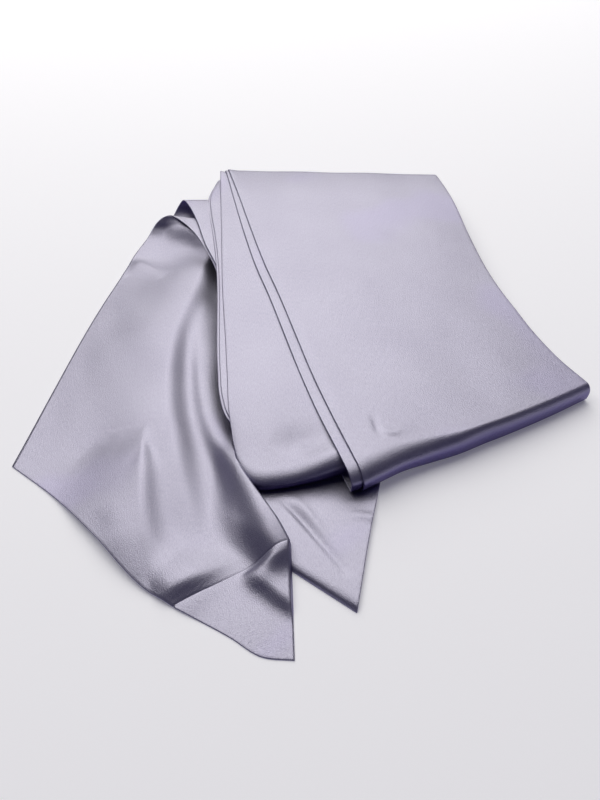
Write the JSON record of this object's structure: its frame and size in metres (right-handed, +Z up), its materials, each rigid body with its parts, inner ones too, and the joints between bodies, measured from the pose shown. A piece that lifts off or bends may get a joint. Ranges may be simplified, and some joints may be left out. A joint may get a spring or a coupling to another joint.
{
  "type": "evening stole",
  "caption": "Plain satin evening stole, folded lengthwise and stacked in flat folds, with both slanted tails lying out at the front.",
  "frame": {"origin": "middle of the outline, on the surface that the stole lies on", "axes": "+Z up; -Y to the front, where both tails lie; +X to the right, towards the tip of the top fold"},
  "size_m": [0.4216, 0.5012, 0.0286],
  "materials": {
    "satin": "smooth lavender grey satin with a soft sheen"
  },
  "bodies": {
    "root": {"top_stretch": "satin", "second_stretch": "satin", "third_stretch": "satin", "outer_back_loop": "satin", "left_tail": "satin", "tail_corner": "satin", "right_tail": "satin", "hidden_layers": "satin"}
  },
  "joints": []
}
